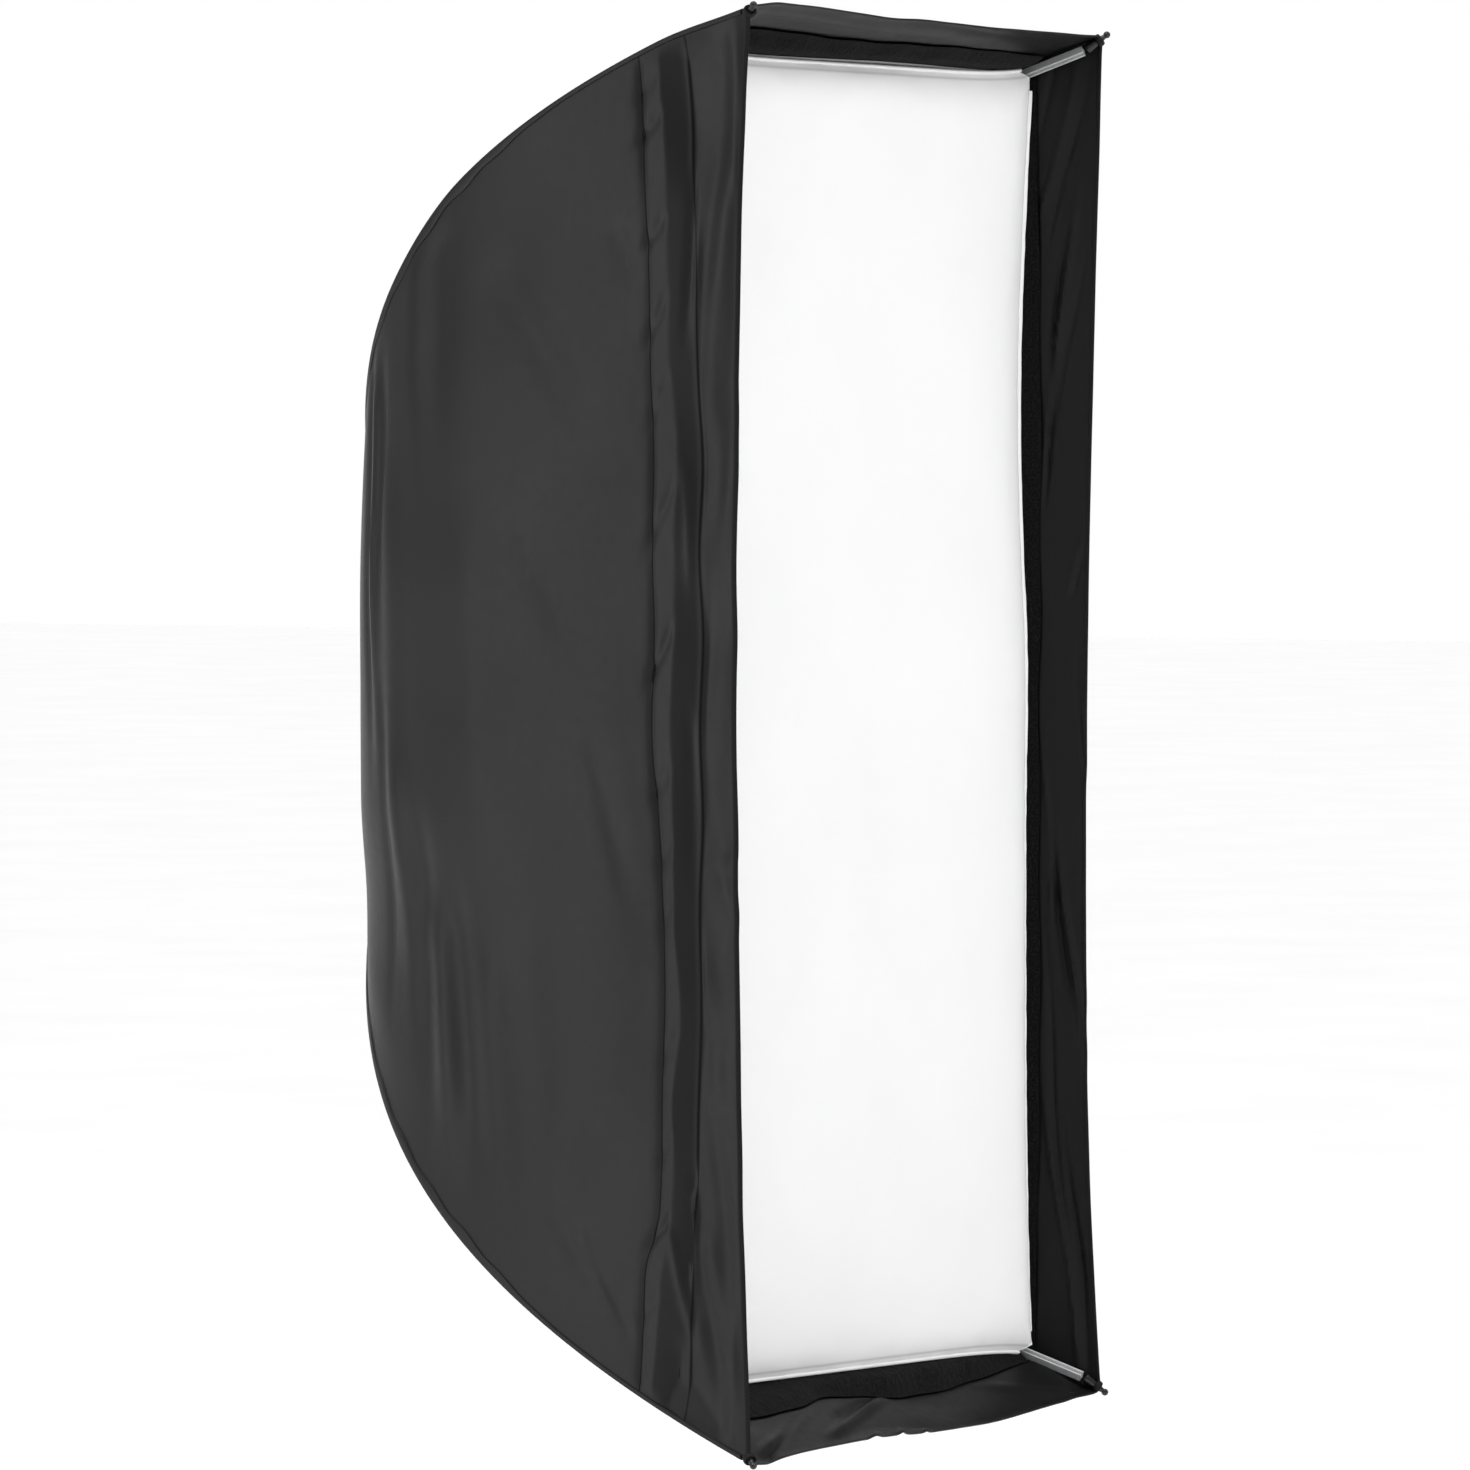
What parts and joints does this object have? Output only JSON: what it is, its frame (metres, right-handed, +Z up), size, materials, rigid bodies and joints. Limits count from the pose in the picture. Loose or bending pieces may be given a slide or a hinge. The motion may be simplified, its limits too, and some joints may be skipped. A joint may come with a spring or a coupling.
{
  "type": "strip softbox",
  "caption": "Tall narrow softbox: a black domed fabric shell on a folding four-rib umbrella frame, with a white diffuser recessed in its front rim.",
  "frame": {"origin": "on the shaft's axis, 85 mm behind the front rim, where a light stand's umbrella holder grips the shaft", "axes": "+Z up along the tall side, X across the narrow side, +Y from the front rim to the back along the shaft"},
  "size_m": [0.4104, 0.342, 0.766],
  "materials": {
    "shell_fabric": "black satin nylon, white inside",
    "loop_tape": "fuzzy loop tape",
    "hook_tape": "white hook tape",
    "diffuser_fabric": "translucent white ripstop",
    "rib_steel": "zinc-plated spring steel",
    "shaft_steel": "polished plated tube",
    "pin_steel": "dark zinc",
    "black_plastic": "moulded nylon",
    "rubber": "matt"
  },
  "bodies": {
    "root": {"shaft": "shaft_steel", "shaft_end_cap": "rubber", "crown": "black_plastic", "crown_patch": "shell_fabric", "crown_washer": "shaft_steel", "crown_cap": "black_plastic", "stop_collar": "pin_steel", "canopy_left": "shell_fabric", "canopy_right": "shell_fabric", "loop_tape_left": "loop_tape", "loop_tape_right": "loop_tape", "rib_pin_top_right": "pin_steel", "rib_pin_top_left": "pin_steel", "rib_pin_bottom_left": "pin_steel", "rib_pin_bottom_right": "pin_steel"},
    "runner": {"runner": "black_plastic", "runner_sleeve": "rubber", "runner_pin_top_right": "pin_steel", "runner_pin_top_left": "pin_steel", "runner_pin_bottom_left": "pin_steel", "runner_pin_bottom_right": "pin_steel", "latch_spring": "pin_steel"},
    "latch": {"latch_button": "shaft_steel"},
    "diffuser": {"diffuser_panel": "diffuser_fabric", "hook_tape_left": "hook_tape", "hook_tape_right": "hook_tape", "hook_tape_top": "hook_tape", "hook_tape_bottom": "hook_tape"},
    "flap": {"stand_flap": "shell_fabric"},
    "rib_top_right": {"rib_top_right": "rib_steel", "rib_end_top_right": "black_plastic", "corner_loop_top_right": "shell_fabric", "joint_rivet_top_right": "pin_steel"},
    "stretcher_top_right": {"stretcher_top_right": "rib_steel"},
    "fabric_top_right": {"canopy_top_right": "shell_fabric", "loop_tape_top_right": "loop_tape"},
    "rib_top_left": {"rib_top_left": "rib_steel", "rib_end_top_left": "black_plastic", "corner_loop_top_left": "shell_fabric", "joint_rivet_top_left": "pin_steel"},
    "stretcher_top_left": {"stretcher_top_left": "rib_steel"},
    "fabric_top_left": {"canopy_top_left": "shell_fabric", "loop_tape_top_left": "loop_tape"},
    "rib_bottom_left": {"rib_bottom_left": "rib_steel", "rib_end_bottom_left": "black_plastic", "corner_loop_bottom_left": "shell_fabric", "joint_rivet_bottom_left": "pin_steel"},
    "stretcher_bottom_left": {"stretcher_bottom_left": "rib_steel"},
    "fabric_bottom_left": {"canopy_bottom_left": "shell_fabric", "loop_tape_bottom_left": "loop_tape"},
    "rib_bottom_right": {"rib_bottom_right": "rib_steel", "rib_end_bottom_right": "black_plastic", "corner_loop_bottom_right": "shell_fabric", "joint_rivet_bottom_right": "pin_steel"},
    "stretcher_bottom_right": {"stretcher_bottom_right": "rib_steel"},
    "fabric_bottom_right": {"canopy_bottom_right": "shell_fabric", "loop_tape_bottom_right": "loop_tape"}
  },
  "joints": [
    {"name": "fold", "type": "slide", "parent": "root", "child": "runner", "axis": [0, -1, 0], "range_m": [0, 0.0947], "deforming": ["diffuser_panel", "hook_tape_left", "hook_tape_right", "hook_tape_top", "hook_tape_bottom", "canopy_top_right", "loop_tape_top_right", "canopy_top_left", "loop_tape_top_left", "canopy_bottom_left", "loop_tape_bottom_left", "canopy_bottom_right", "loop_tape_bottom_right", "canopy_left", "canopy_right", "loop_tape_left", "loop_tape_right", "stand_flap"]},
    {"name": "latch_press", "type": "slide", "parent": "runner", "child": "latch", "axis": [0, 0, 1], "range_m": [0, 0.0019], "stiffness_N_per_m": 400, "springref_m": -0.002, "deforming": ["latch_spring"]},
    {"name": "diffuser_pull", "type": "slide", "parent": "root", "child": "diffuser", "axis": [0, -1, 0], "range_m": [0, 0.1]},
    {"name": "rib_fold_top_right", "type": "hinge", "parent": "root", "child": "rib_top_right", "pos_m": [0.0056, 0.234, 0.01061], "axis": [0.8846, 0, -0.4664], "range_deg": [0, 49.5]},
    {"name": "stretcher_swing_top_right", "type": "hinge", "parent": "runner", "child": "stretcher_top_right", "pos_m": [0.00653, 0.16564, 0.01238], "axis": [-0.8846, 0, 0.4664], "range_deg": [0, 23.48]},
    {"name": "fabric_fold_top_right", "type": "hinge", "parent": "rib_top_right", "child": "fabric_top_right", "pos_m": [0, 0.234, 0.01357], "axis": [-0.6605, 0.1574, 0.7342], "range_deg": [0, 30.15]},
    {"name": "rib_fold_top_left", "type": "hinge", "parent": "root", "child": "rib_top_left", "pos_m": [-0.0056, 0.234, 0.01061], "axis": [0.8846, 0, 0.4664], "range_deg": [0, 49.5]},
    {"name": "stretcher_swing_top_left", "type": "hinge", "parent": "runner", "child": "stretcher_top_left", "pos_m": [-0.00653, 0.16564, 0.01238], "axis": [-0.8846, 0, -0.4664], "range_deg": [0, 23.48]},
    {"name": "fabric_fold_top_left", "type": "hinge", "parent": "rib_top_left", "child": "fabric_top_left", "pos_m": [0, 0.234, 0.01357], "axis": [-0.6605, -0.1574, -0.7342], "range_deg": [0, 30.15]},
    {"name": "rib_fold_bottom_left", "type": "hinge", "parent": "root", "child": "rib_bottom_left", "pos_m": [-0.0056, 0.234, -0.01061], "axis": [-0.8846, 0, 0.4664], "range_deg": [0, 49.5]},
    {"name": "stretcher_swing_bottom_left", "type": "hinge", "parent": "runner", "child": "stretcher_bottom_left", "pos_m": [-0.00653, 0.16564, -0.01238], "axis": [0.8846, 0, -0.4664], "range_deg": [0, 23.48]},
    {"name": "fabric_fold_bottom_left", "type": "hinge", "parent": "rib_bottom_left", "child": "fabric_bottom_left", "pos_m": [0, 0.234, -0.01357], "axis": [0.6605, 0.1574, -0.7342], "range_deg": [0, 30.15]},
    {"name": "rib_fold_bottom_right", "type": "hinge", "parent": "root", "child": "rib_bottom_right", "pos_m": [0.0056, 0.234, -0.01061], "axis": [-0.8846, 0, -0.4664], "range_deg": [0, 49.5]},
    {"name": "stretcher_swing_bottom_right", "type": "hinge", "parent": "runner", "child": "stretcher_bottom_right", "pos_m": [0.00653, 0.16564, -0.01238], "axis": [0.8846, 0, 0.4664], "range_deg": [0, 23.48]},
    {"name": "fabric_fold_bottom_right", "type": "hinge", "parent": "rib_bottom_right", "child": "fabric_bottom_right", "pos_m": [0, 0.234, -0.01357], "axis": [0.6605, -0.1574, 0.7342], "range_deg": [0, 30.15]},
    {"name": "flap_open", "type": "hinge", "parent": "fabric_bottom_left", "child": "flap", "pos_m": [0, 0.1383, -0.27229], "axis": [1, 0, 0], "range_deg": [0, 70]}
  ],
  "couplings": [
    {"joint": "rib_fold_top_right", "follows": "fold", "rad_per_m": 9.1228},
    {"joint": "stretcher_swing_top_right", "follows": "fold", "rad_per_m": 4.3273},
    {"joint": "fabric_fold_top_right", "follows": "fold", "rad_per_m": 5.5557},
    {"joint": "rib_fold_top_left", "follows": "fold", "rad_per_m": 9.1228},
    {"joint": "stretcher_swing_top_left", "follows": "fold", "rad_per_m": 4.3273},
    {"joint": "fabric_fold_top_left", "follows": "fold", "rad_per_m": 5.5557},
    {"joint": "rib_fold_bottom_left", "follows": "fold", "rad_per_m": 9.1228},
    {"joint": "stretcher_swing_bottom_left", "follows": "fold", "rad_per_m": 4.3273},
    {"joint": "fabric_fold_bottom_left", "follows": "fold", "rad_per_m": 5.5557},
    {"joint": "rib_fold_bottom_right", "follows": "fold", "rad_per_m": 9.1228},
    {"joint": "stretcher_swing_bottom_right", "follows": "fold", "rad_per_m": 4.3273},
    {"joint": "fabric_fold_bottom_right", "follows": "fold", "rad_per_m": 5.5557}
  ]
}
